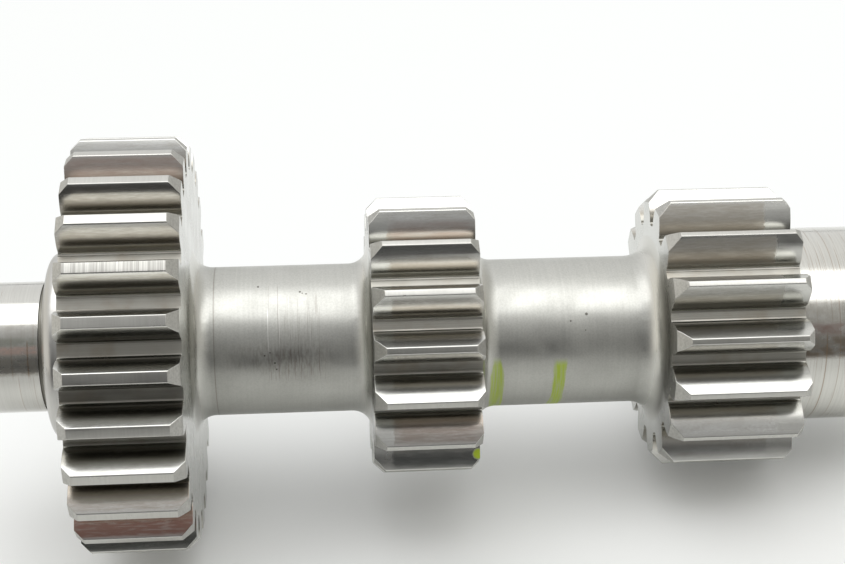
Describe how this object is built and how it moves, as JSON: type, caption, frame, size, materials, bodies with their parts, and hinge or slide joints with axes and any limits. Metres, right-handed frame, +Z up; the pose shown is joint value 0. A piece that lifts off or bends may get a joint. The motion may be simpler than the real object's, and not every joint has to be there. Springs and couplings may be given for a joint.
{
  "type": "transmission shaft",
  "caption": "One-piece steel transmission shaft with spur gears cut along it, filleted waists between them and a ground bearing journal at each end.",
  "frame": {"origin": "centre of the footprint, on the surface that the shaft lies on", "axes": "+Z up, +X along the shaft from the left journal to the right journal in plan, with the axis dipping towards +X because the end gear is smaller; the front faces -Y"},
  "size_m": [0.2626, 0.112, 0.1135],
  "materials": {
    "steel": "turned waists, ground journals and flanks, light wear"
  },
  "bodies": {
    "root": {"transmission_shaft": "steel"}
  },
  "joints": []
}
